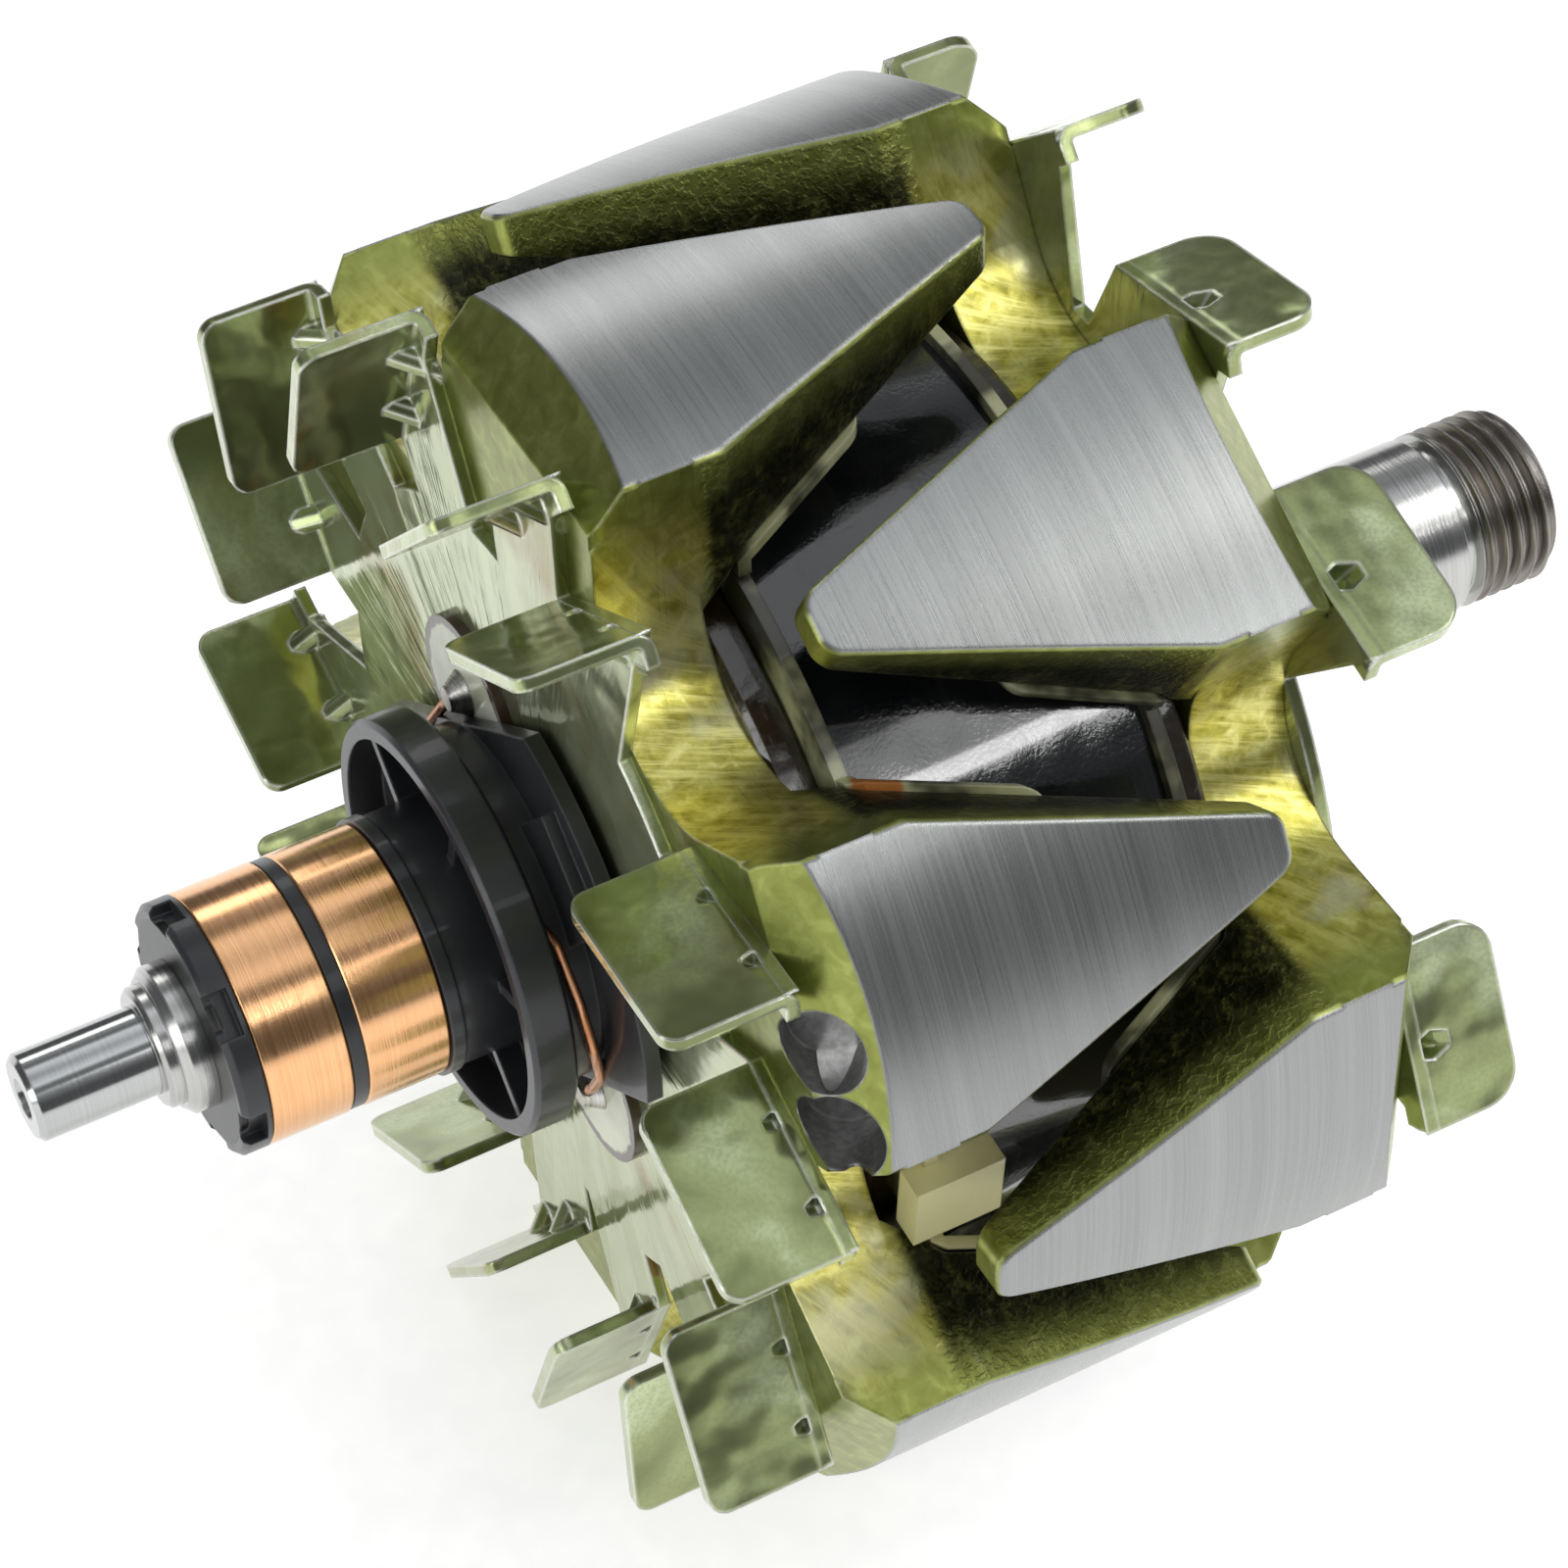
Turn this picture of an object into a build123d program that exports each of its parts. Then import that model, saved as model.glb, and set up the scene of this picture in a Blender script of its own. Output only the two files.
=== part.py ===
from build123d import *
from math import cos, hypot, radians, sin, sqrt
import os

# Alternator rotor. Axis along X, drive end +X, origin on the axis at the drive end bearing shoulder.
# Angles run around X, from +Y towards +Z.

# Drive end of the shaft
journal_diameter = 17.0
journal_length = 31.8
relief_diameter = 15.0
relief_length = 1.6
thread_diameter = 17.0
thread_length = 8.6
thread_chamfer = 1.1
spacer_length = 3.2
spacer_diameter = 25.0
spacer_bore = 18.0
drive_centre_radius = 4.2
pin_centre_radius = 1.9

# Claw poles, measured from the outer face of each pole towards the other
rotor_diameter = 115.0
pole_span = 54.0
claw_count = 6
yoke_thickness = 9.3
claw_width = 27.0
shoulder_depth = 4.6
shoulder_height = 5.5
taper_start = 12.0
claw_length = 42.6
tip_width = 4.9
tip_thickness = 3.5
tip_corner = 2.2
claw_rim_chamfer = 0.35
claw_root_depth = 13.1
root_inner_depth = 13.6
throat_drop = 4.8
valley_drop = 1.6
core_radius = 29.0
press_diameter = 20.0
rear_claw_angle = 90.0
front_claw_angle = 60.0

# Balance holes in the shoulder of one rear claw
balance_diameter = 7.3
balance_angles = (152.9, 160.8)
balance_set_back = 3.4
balance_depth = 7.5
balance_tilt = 30.0

# Coil and its insulation
washer_thickness = 3.5
washer_clearance = 0.2
flange_thickness = 1.2
flange_clearance = 1.2
bobbin_wall = 1.4
winding_inset = 1.8
wrap_thickness = 0.6
petal_thickness = 1.1
petal_width = 27.0
petal_end_width = 17.6
petal_reach = 27.0
petal_gap = 0.25
petal_corner = 2.6
petal_root = 1.5
lead_block_angle = 186.5
lead_block_width = 7.4
lead_block_length = 8.4
lead_block_depth = 3.0
lead_block_shift = 2.2
lead_block_rise = 0.6
lead_valley_angle = 60.0

# Fans
sheet = 1.2
bend_radius = 1.6
trim_width = 300.0
trim_depth = 10.0
rear_fan_bore = 28.0
rear_fan_height = 11.6
rear_blade_inset = 1.3
rear_blade_reach = 13.2
rear_blade_sweep = 13.3
rear_disc_inset = 1.0
rear_blade_angles = (17, 44, 73, 99, 115, 146, 170.5, 207.5, 233, 257.5, 277, 294.5, 325, 348)
front_fan_bore = 44.0
front_fan_height = 9.6
front_blade_inset = 0.3
front_blade_reach = 7.6
front_blade_sweep = 17.0
front_disc_overlap = 2.0
front_blade_angles = (8, 50.7, 83.3, 110.9, 139.2, 187.7, 238, 266, 295, 325)

# Slip ring end, measured from the rear pole face towards the pin
ring_diameter = 23.1
ring_bore = 19.0
ring_width = 7.73
ring_gap = 1.28
hub_bore = 12.4
hub_foot_radius = 16.5
hub_plate_radius = 25.0
hub_plate_thickness = 1.5
cup_radius = 19.4
cup_rim = 1.7
cup_depth = 3.3
rib_count = 6
rib_angle = 15.0
rib_thickness = 1.1
cup_back = 7.2
cup_front = 11.3
neck_radius = 11.9
ring_start = 15.4
end_flange = 2.5
tooth_count = 6
pin_diameter = 8.0
pin_length = 11.2
collar_diameter = 13.4
collar_length = 2.7
step_diameter = 11.0
step_length = 1.3
lobe_radius = 8.2
lobe_centre = 17.6
lobe_angles = (235.0, 55.0)
lead_carrier_thickness = 1.0
strap_angle = 143.5
strap_width = 33.0
lug_angle = 131.0
lug_height = 6.0
lug_width = 11.0
lug_depth = 2.8
end_washer_radius = 10.3
end_washer_thickness = 0.8
tooth_angle = 10.0
tooth_notch = 1.3
tooth_gap = 4.2
solder_radius = 18.6
solder_size = 2.2
solder_height = 1.7
wire_diameter = 1.0
wrap_slack = 0.35
coil_lead_inset = 0.4
coil_lead_depth = 4.0
lead_hole = 2.4
lead_groove = 1.6
lead_groove_end = 5.0
lead_stub = 0.45

# Positions along the axis, and radii that follow from the sizes above
front_fan_face = -spacer_length
front_face = front_fan_face - sheet
rear_face = front_face - pole_span
pole_centre = (front_face + rear_face) / 2
core_half = pole_span / 2 - yoke_thickness
rear_fan_face = rear_face - sheet
plate_face = rear_fan_face - lead_carrier_thickness
ring_two_front = rear_face - ring_start
ring_two_rear = ring_two_front - ring_width
ring_one_front = ring_two_rear - ring_gap
ring_one_rear = ring_one_front - ring_width
hub_end = ring_one_rear - end_flange
collar_end = hub_end - collar_length
step_end = collar_end - step_length
pin_end = step_end - pin_length
rotor_radius = rotor_diameter / 2
root_inner_radius = rotor_radius - claw_root_depth
throat_radius = root_inner_radius - throat_drop
valley_radius = throat_radius - valley_drop
washer_radius = throat_radius - washer_clearance
flange_radius = root_inner_radius - flange_clearance
winding_radius = flange_radius - winding_inset
coil_lead_radius = winding_radius - coil_lead_inset
rear_disc_radius = valley_radius - rear_disc_inset
front_disc_radius = valley_radius + front_disc_overlap
rear_blade_outer = rotor_radius - rear_blade_inset
rear_blade_inner = rear_blade_outer - rear_blade_reach
front_blade_outer = rotor_radius - front_blade_inset
front_blade_inner = front_blade_outer - front_blade_reach
journal_radius = journal_diameter / 2
thread_start = journal_length + relief_length
shaft_end = thread_start + thread_length
hub_seat_radius = hub_bore / 2
ring_radius = ring_diameter / 2
flange_outer = core_half - washer_thickness
winding_half = flange_outer - flange_thickness

os.makedirs("parts", exist_ok=True)


# Shaft, turned in one piece, with centre holes in both ends
with BuildPart() as shaft:
    with BuildSketch(Plane.XY):
        with BuildLine():
            Polyline(
                (pin_end, 0),
                (pin_end, pin_diameter / 2 - 0.5),
                (pin_end + 0.5, pin_diameter / 2),
                (step_end, pin_diameter / 2),
                (step_end, step_diameter / 2 - 0.4),
                (step_end + 0.4, step_diameter / 2),
                (collar_end, step_diameter / 2),
                (collar_end, collar_diameter / 2 - 0.8),
                (collar_end + 0.8, collar_diameter / 2),
                (hub_end, collar_diameter / 2),
                (hub_end, hub_seat_radius),
                (rear_fan_face, hub_seat_radius),
                (rear_fan_face, press_diameter / 2),
                (front_fan_face, press_diameter / 2),
                (front_fan_face, spacer_bore / 2),
                (0, spacer_bore / 2),
                (0, journal_radius),
                (journal_length, journal_radius),
                (journal_length + 0.4, relief_diameter / 2),
                (thread_start - 0.4, relief_diameter / 2),
                (thread_start, thread_diameter / 2),
                (shaft_end - thread_chamfer, thread_diameter / 2),
                (shaft_end, thread_diameter / 2 - thread_chamfer),
                (shaft_end, 0),
                close=True,
            )
        make_face()
    revolve(axis=Axis.X)
    with BuildSketch(Plane.XY):
        with BuildLine():
            Polyline(
                (pin_end, 0),
                (pin_end, pin_centre_radius),
                (pin_end + 2.2, pin_centre_radius - 1),
                (pin_end + 4.0, pin_centre_radius - 1),
                (pin_end + 4.6, 0),
                close=True,
            )
        make_face()
        with BuildLine():
            Polyline(
                (shaft_end, 0),
                (shaft_end, drive_centre_radius),
                (shaft_end - 3.4, drive_centre_radius - 2.2),
                (shaft_end - 6.4, drive_centre_radius - 2.2),
                (shaft_end - 7.4, 0),
                close=True,
            )
        make_face()
    revolve(axis=Axis.X, mode=Mode.SUBTRACT)
shaft.part.label = "shaft"
export_step(shaft.part, "parts/shaft.step")


# One claw, axis up: the outer face of its pole lies at height 0 and the tip points up
claw_slope = (rotor_radius - tip_thickness - root_inner_radius) / (claw_length - root_inner_depth)
with BuildPart() as claw:
    with BuildSketch(Plane.XZ):
        with BuildLine():
            Polyline(
                (core_radius, 0),
                (rotor_radius - shoulder_height, 0),
                (rotor_radius, shoulder_depth),
                (rotor_radius, claw_length),
                (rotor_radius - tip_thickness, claw_length),
                (root_inner_radius, root_inner_depth),
                (throat_radius, yoke_thickness),
                (core_radius, yoke_thickness),
                close=True,
            )
        make_face()
    extrude(amount=claw_width / 2, both=True)
    with BuildSketch(Plane.YZ.offset(core_radius - 1)) as claw_outline:
        with BuildLine():
            Polyline(
                (-claw_width / 2, -1),
                (claw_width / 2, -1),
                (claw_width / 2, taper_start),
                (tip_width / 2, claw_length),
                (-tip_width / 2, claw_length),
                (-claw_width / 2, taper_start),
                close=True,
            )
        make_face()
        fillet(claw_outline.vertices().group_by(Axis.Z)[-1], tip_corner)
    extrude(amount=rotor_radius, mode=Mode.INTERSECT)
    Cylinder(rotor_radius, 3 * claw_length, mode=Mode.INTERSECT)
    rim = claw.faces().sort_by(Axis.X)[-1]
    chamfer(rim.edges().filter_by(lambda e: e.center().Z > taper_start + 1), claw_rim_chamfer)


# One pole, axis up: the yoke with its six claws
with BuildPart() as pole:
    with BuildSketch() as star:
        with PolarLocations(0, claw_count):
            Rectangle(rotor_radius, claw_width, align=(Align.MIN, Align.CENTER))
        inner_corners = star.vertices().sort_by(lambda v: hypot(v.X, v.Y))[:claw_count]
        corner_distance = claw_width / 2 / sin(radians(180 / claw_count))
        fillet(inner_corners, (valley_radius - corner_distance) / (1 / sin(radians(180 / claw_count)) - 1))
    extrude(amount=yoke_thickness)
    with BuildSketch(Plane.XZ):
        with BuildLine():
            Polyline(
                (0, -1),
                (rotor_radius - shoulder_height - 1, -1),
                (rotor_radius - shoulder_height, 0),
                (rotor_radius, shoulder_depth),
                (rotor_radius, yoke_thickness + 1),
                (0, yoke_thickness + 1),
                close=True,
            )
        make_face()
    revolve(axis=Axis.Z, mode=Mode.INTERSECT)
    with PolarLocations(0, claw_count):
        add(claw.part)
    Cylinder(press_diameter / 2, 3 * yoke_thickness, mode=Mode.SUBTRACT)


def on_axis(x, angle=0.0, flip=False):
    # A frame on the rotor axis whose own Z runs along X, or against it when flipped
    side = Plane(origin=(x, 0, 0), x_dir=(0, 1, 0), z_dir=(-1 if flip else 1, 0, 0))
    return side.location * Location((0, 0, 0), (0, 0, -angle if flip else angle))


def on_face(x, radius, angle):
    # A point given by its place along the axis, its radius and its angle
    return (x, radius * cos(radians(angle)), radius * sin(radians(angle)))


# Each coil lead leaves by a valley of the rear pole and ends on a lobe of the carrier
lead_runs = ((lead_valley_angle + 180, lobe_angles[0]), (lead_valley_angle, lobe_angles[1]))

with BuildPart() as front_claw_pole:
    with Locations(on_axis(front_face, front_claw_angle, flip=True)):
        add(pole.part)
front_claw_pole.part.label = "front_claw_pole"
export_step(front_claw_pole.part, "parts/front_claw_pole.step")

with BuildPart() as rear_claw_pole:
    with Locations(on_axis(rear_face, rear_claw_angle)):
        add(pole.part)
    for angle in balance_angles:
        drop = shoulder_height * balance_set_back / shoulder_depth
        with Locations(Location((rear_face + shoulder_depth - balance_set_back, 0, 0), (angle, 0, 0))):
            with Locations(Location((0, rotor_radius - drop, 0), (0, 0, balance_tilt))):
                with Locations(Location((0, 0, 0), (90, 0, 0))):
                    Cylinder(balance_diameter / 2, 2 * balance_depth, mode=Mode.SUBTRACT)
    for valley, lobe in lead_runs:
        outer_end = Vector(*on_face(rear_face, valley_radius + lead_groove_end, valley))
        inner_end = Vector(*on_face(rear_face, solder_radius, lobe))
        run = outer_end - inner_end
        with BuildSketch(Plane(origin=inner_end, x_dir=run.normalized(), z_dir=(1, 0, 0))):
            with Locations((run.length / 2, 0)):
                SlotOverall(run.length + lead_groove, lead_groove)
        extrude(amount=lead_groove, mode=Mode.SUBTRACT)
rear_claw_pole.part.label = "rear_claw_pole"
export_step(rear_claw_pole.part, "parts/rear_claw_pole.step")

with BuildPart() as pole_core:
    with Locations(on_axis(pole_centre)):
        Cylinder(core_radius, 2 * core_half)
        Cylinder(press_diameter / 2, 2 * core_half, mode=Mode.SUBTRACT)
pole_core.part.label = "pole_core"
export_step(pole_core.part, "parts/pole_core.step")


# Insulating washers between the yokes and the bobbin
for washer_name, washer_side in (("rear_insulating_washer", -1), ("front_insulating_washer", 1)):
    with BuildPart() as washer:
        with Locations(on_axis(pole_centre + washer_side * (core_half - washer_thickness / 2))):
            Cylinder(washer_radius, washer_thickness)
            Cylinder(core_radius, washer_thickness, mode=Mode.SUBTRACT)
        washer_edges = washer.edges().filter_by(GeomType.CIRCLE)
        chamfer(washer_edges.filter_by(lambda e: e.radius > core_radius + 1), 0.5)
    washer.part.label = washer_name
    export_step(washer.part, f"parts/{washer_name}.step")


# One petal of the bobbin, axis up, lying under a claw
petal_start = yoke_thickness + washer_thickness
petal_top = petal_start + flange_thickness
petal_foot = root_inner_radius + (petal_top - root_inner_depth) * claw_slope - petal_gap
petal_end = root_inner_radius + (petal_reach - root_inner_depth) * claw_slope - petal_gap
with BuildPart() as petal:
    with BuildSketch(Plane.XZ):
        with BuildLine():
            Polyline(
                (flange_radius - petal_root, petal_start),
                (flange_radius, petal_start),
                (petal_foot, petal_top),
                (petal_end, petal_reach),
                (petal_end - petal_thickness, petal_reach),
                (petal_foot - petal_thickness, petal_top),
                (flange_radius - petal_root, petal_top),
                close=True,
            )
        make_face()
    extrude(amount=petal_width / 2, both=True)
    with BuildSketch(Plane.YZ) as petal_outline:
        with BuildLine():
            Polyline(
                (-petal_width / 2, 0),
                (petal_width / 2, 0),
                (petal_width / 2, petal_top),
                (petal_end_width / 2, petal_reach),
                (-petal_end_width / 2, petal_reach),
                (-petal_width / 2, petal_top),
                close=True,
            )
        make_face()
        fillet(petal_outline.vertices().group_by(Axis.Z)[-1], petal_corner)
    extrude(amount=rotor_radius, mode=Mode.INTERSECT)


# Bobbin, moulded: a tube with two flanges, six petals on each and a block that guides the leads
with BuildPart() as bobbin:
    with Locations(on_axis(pole_centre)):
        Cylinder(core_radius + bobbin_wall, 2 * flange_outer)
    for flange_side in (-1, 1):
        with Locations(on_axis(pole_centre + flange_side * (flange_outer - flange_thickness / 2))):
            Cylinder(flange_radius, flange_thickness)
    with Locations(on_axis(rear_face, rear_claw_angle)):
        with PolarLocations(0, claw_count):
            add(petal.part)
    with Locations(on_axis(front_face, front_claw_angle, flip=True)):
        with PolarLocations(0, claw_count):
            add(petal.part)
    with Locations(on_axis(pole_centre - flange_outer + lead_block_shift, lead_block_angle)):
        with Locations((flange_radius + lead_block_rise, 0, 0)):
            Box(lead_block_depth, lead_block_width, lead_block_length)
    with Locations(on_axis(pole_centre)):
        Cylinder(core_radius, 3 * flange_outer, mode=Mode.SUBTRACT)
    with Locations(on_axis(pole_centre - flange_outer)):
        with PolarLocations(coil_lead_radius, 2, start_angle=lead_valley_angle):
            Cylinder(wire_diameter / 2 + 0.15, 4 * flange_thickness, mode=Mode.SUBTRACT)
bobbin.part.label = "bobbin"
export_step(bobbin.part, "parts/bobbin.step")


# One blade of a fan, axis up: it stands on its fold line and is bent up from the sheet
def fold_line(inner, outer, sweep):
    first = Vector(inner * cos(radians(sweep)), inner * sin(radians(sweep)), 0)
    return first, Vector(outer, 0, 0)


rear_start, rear_stop = fold_line(rear_blade_inner, rear_blade_outer, rear_blade_sweep)
front_stop, front_start = fold_line(front_blade_inner, front_blade_outer, -front_blade_sweep)

blades = {}
for fan_name, start, stop, height, places, bump, bump_lift, dent, dent_lift, corner in (
    ("rear", rear_start, rear_stop, rear_fan_height, (0.3, 0.74), 1.15, 2.3, 0.8, 1.15, 1.8),
    ("front", front_start, front_stop, front_fan_height, (0.45,), 2.0, 2.5, 1.35, 1.6, 3.4),
):
    along = (stop - start).normalized()
    outward = Vector(-along.Y, along.X, 0)
    with BuildPart() as blade:
        with BuildSketch(Plane(origin=start, x_dir=outward, z_dir=along)):
            with BuildLine():
                Line((-bend_radius - 1.5, 0), (-bend_radius, 0))
                RadiusArc((-bend_radius, 0), (0, bend_radius), -bend_radius)
                Polyline((0, bend_radius), (0, height), (-sheet, height), (-sheet, bend_radius))
                RadiusArc((-sheet, bend_radius), (-bend_radius, sheet), bend_radius - sheet)
                Polyline((-bend_radius, sheet), (-bend_radius - 1.5, sheet), (-bend_radius - 1.5, 0))
            make_face()
        extrude(amount=(stop - start).length)
        top_edges = blade.edges().filter_by(lambda e: abs(e.center().Z - height) < 0.01)
        fillet(top_edges.filter_by(lambda e: e.length < sheet + 0.1), corner)
        slant = (outward + Vector(0, 0, 1)).normalized()
        for share in places:
            fold = start + along * (share * (stop - start).length)
            with BuildSketch(Plane(origin=fold - outward * bump_lift * sqrt(2), x_dir=along, z_dir=slant)):
                RegularPolygon(bump, 8, rotation=22.5)
            extrude(amount=2 * bump_lift, both=True)
            with BuildSketch(Plane(origin=fold - outward * dent_lift * sqrt(2), x_dir=along, z_dir=slant)):
                RegularPolygon(dent, 6, rotation=0)
            extrude(amount=4 * dent_lift, both=True, mode=Mode.SUBTRACT)
        # The bumps end flush with the outside of the fold
        with Locations((0, 0, -trim_depth / 2)):
            Box(trim_width, trim_width, trim_depth, mode=Mode.SUBTRACT)
        with Locations(Plane(origin=start + outward * trim_depth / 2, x_dir=along, z_dir=outward).location):
            Box(trim_width, trim_width, trim_depth, mode=Mode.SUBTRACT)
    blades[fan_name] = blade


# Fans, each pressed from one sheet
with BuildPart() as rear_fan:
    with Locations(on_axis(rear_face, flip=True)):
        Cylinder(rear_disc_radius, sheet, align=(Align.CENTER, Align.CENTER, Align.MIN))
    with BuildSketch(Plane(origin=(rear_face, 0, 0), x_dir=(0, 1, 0), z_dir=(-1, 0, 0))):
        for angle in rear_blade_angles:
            with Locations(Location((0, 0, 0), (0, 0, -angle))):
                Polygon(
                    (rear_start.X, rear_start.Y),
                    (rear_stop.X, rear_stop.Y),
                    (rear_disc_radius, -3.2),
                    (rear_disc_radius - 4, 0),
                    (rear_start.X - 8, rear_start.Y - 2),
                    align=None,
                )
    extrude(amount=sheet)
    for angle in rear_blade_angles:
        with Locations(on_axis(rear_face, angle, flip=True)):
            add(blades["rear"].part)
    with Locations(on_axis(rear_face)):
        Cylinder(rear_fan_bore / 2, 4 * sheet, mode=Mode.SUBTRACT)
    for angle in lobe_angles:
        with Locations(on_axis(rear_face, angle)):
            with Locations((solder_radius, 0, 0)):
                Cylinder(lead_hole / 2, 4 * sheet, mode=Mode.SUBTRACT)
rear_fan.part.label = "rear_fan"
export_step(rear_fan.part, "parts/rear_fan.step")

with BuildPart() as front_fan:
    with Locations(on_axis(front_face)):
        Cylinder(front_disc_radius, sheet, align=(Align.CENTER, Align.CENTER, Align.MIN))
    with BuildSketch(Plane(origin=(front_face, 0, 0), x_dir=(0, 1, 0), z_dir=(1, 0, 0))):
        for angle in front_blade_angles:
            with Locations(Location((0, 0, 0), (0, 0, angle))):
                Polygon(
                    (front_start.X, front_start.Y),
                    (front_stop.X, front_stop.Y),
                    (front_disc_radius * cos(radians(22)), -front_disc_radius * sin(radians(22))),
                    (front_disc_radius - 8, -6),
                    (front_disc_radius, 1.5),
                    align=None,
                )
    extrude(amount=sheet)
    for angle in front_blade_angles:
        with Locations(on_axis(front_face, angle)):
            add(blades["front"].part)
    with Locations(on_axis(front_face)):
        Cylinder(front_fan_bore / 2, 4 * sheet, mode=Mode.SUBTRACT)
front_fan.part.label = "front_fan"
export_step(front_fan.part, "parts/front_fan.step")


# Drive end spacer
with BuildPart() as drive_end_spacer:
    with Locations(on_axis(front_fan_face)):
        Cylinder(spacer_diameter / 2, spacer_length, align=(Align.CENTER, Align.CENTER, Align.MIN))
    chamfer(drive_end_spacer.edges().filter_by(GeomType.CIRCLE), 0.5)
    with Locations(on_axis(front_fan_face)):
        Cylinder(spacer_bore / 2, 3 * spacer_length, mode=Mode.SUBTRACT)
drive_end_spacer.part.label = "drive_end_spacer"
export_step(drive_end_spacer.part, "parts/drive_end_spacer.step")


# Slip ring leads: up under each ring, out through the back of the cup and round to a lobe
cup_back_x = rear_face - cup_back
cup_front_x = rear_face - cup_front
lead_radius = ring_bore / 2 - wire_diameter / 2
wrap_radius = hub_foot_radius + wire_diameter / 2 + wrap_slack
leads = {}
for lead_name, ring_x, lobe in (
    ("outer_ring_lead", (ring_one_rear + ring_one_front) / 2, lobe_angles[0]),
    ("inner_ring_lead", (ring_two_rear + ring_two_front) / 2, lobe_angles[1]),
):
    with BuildPart() as lead:
        with BuildLine() as route:
            Polyline(
                on_face(ring_x, lead_radius, lobe - 96),
                on_face(cup_back_x - 0.25, lead_radius, lobe - 96),
                on_face(cup_back_x - 0.25, wrap_radius, lobe - 96),
                on_face(cup_back_x + 0.8, wrap_radius, lobe - 88),
                on_face(cup_back_x + 1.5, wrap_radius, lobe - 68),
                on_face(cup_back_x + 2.3, wrap_radius, lobe - 48),
                on_face(plate_face - 1.5, wrap_radius + 0.2, lobe - 28),
                on_face(plate_face - 1.0, wrap_radius + 0.6, lobe - 10),
                on_face(plate_face - 1.0, solder_radius, lobe),
            )
        with BuildSketch(Plane(origin=route.line @ 0, z_dir=route.line % 0)):
            Circle(wire_diameter / 2)
        sweep(path=route.line, transition=Transition.ROUND)
    lead.part.label = lead_name
    leads[lead_name] = lead
    export_step(lead.part, f"parts/{lead_name}.step")


# Slip ring hub, moulded in one piece around both leads
with BuildPart() as slip_ring_hub:
    with BuildSketch(Plane.XY):
        with BuildLine():
            Polyline(
                (plate_face, hub_seat_radius),
                (plate_face, hub_foot_radius),
                (cup_back_x, hub_foot_radius),
                (cup_back_x, cup_radius - 0.4),
                (cup_back_x - 0.4, cup_radius),
                (cup_front_x + 0.4, cup_radius),
                (cup_front_x, cup_radius - 0.4),
                (cup_front_x, cup_radius - cup_rim),
                (cup_front_x + cup_depth, cup_radius - cup_rim - 0.3),
                (cup_front_x + cup_depth, neck_radius - 0.3),
                (ring_two_front + 1.4, neck_radius - 0.3),
                (ring_two_front + 1.2, neck_radius),
                (ring_two_front, neck_radius),
                (ring_two_front, ring_bore / 2),
                (ring_two_rear, ring_bore / 2),
                (ring_two_rear, ring_radius - 0.1),
                (ring_one_front, ring_radius - 0.1),
                (ring_one_front, ring_bore / 2),
                (ring_one_rear, ring_bore / 2),
                (ring_one_rear, ring_radius),
                (hub_end + 0.5, ring_radius),
                (hub_end, ring_radius - 0.5),
                (hub_end, end_washer_radius),
                (hub_end + end_washer_thickness, end_washer_radius),
                (hub_end + end_washer_thickness, hub_seat_radius),
                close=True,
            )
        make_face()
    revolve(axis=Axis.X)
    with Locations(on_axis(hub_end)):
        with PolarLocations(ring_radius, tooth_count, start_angle=tooth_angle):
            Box(2 * tooth_notch, tooth_gap, 2 * (end_flange - 0.4), mode=Mode.SUBTRACT)
    rib_length = cup_radius - neck_radius - cup_rim + 1.2
    with Locations(on_axis(cup_front_x + cup_depth, flip=True)):
        with PolarLocations((cup_radius + neck_radius) / 2 - 0.7, rib_count, start_angle=rib_angle):
            Box(rib_length, rib_thickness, cup_depth - 0.9, align=(Align.CENTER, Align.CENTER, Align.MIN))
    with BuildSketch(Plane(origin=(plate_face, 0, 0), x_dir=(0, 1, 0), z_dir=(-1, 0, 0))):
        Circle(hub_plate_radius)
        Rectangle(3 * hub_plate_radius, strap_width, rotation=-strap_angle, mode=Mode.INTERSECT)
        Circle(hub_seat_radius, mode=Mode.SUBTRACT)
    extrude(amount=hub_plate_thickness)
    with Locations(on_axis(plate_face, lug_angle, flip=True)):
        with PolarLocations(hub_foot_radius, 2):
            Box(2 * lug_height, lug_width, lug_depth, align=(Align.CENTER, Align.CENTER, Align.MIN))
    for lead in leads.values():
        add(lead.part, mode=Mode.SUBTRACT)
slip_ring_hub.part.label = "slip_ring_hub"
export_step(slip_ring_hub.part, "parts/slip_ring_hub.step")


# Slip rings
for ring_name, ring_x in (("outer_slip_ring", ring_one_rear), ("inner_slip_ring", ring_two_rear)):
    with BuildPart() as ring:
        with Locations(on_axis(ring_x)):
            Cylinder(ring_radius, ring_width, align=(Align.CENTER, Align.CENTER, Align.MIN))
        chamfer(ring.edges().filter_by(GeomType.CIRCLE), 0.25)
        with Locations(on_axis(ring_x)):
            Cylinder(ring_bore / 2, 3 * ring_width, mode=Mode.SUBTRACT)
    ring.part.label = ring_name
    export_step(ring.part, f"parts/{ring_name}.step")


# Washer let into the end of the hub
with BuildPart() as hub_end_washer:
    with Locations(on_axis(hub_end)):
        Cylinder(end_washer_radius, end_washer_thickness, align=(Align.CENTER, Align.CENTER, Align.MIN))
        Cylinder(hub_seat_radius, 3 * end_washer_thickness, mode=Mode.SUBTRACT)
hub_end_washer.part.label = "hub_end_washer"
export_step(hub_end_washer.part, "parts/hub_end_washer.step")


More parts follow.
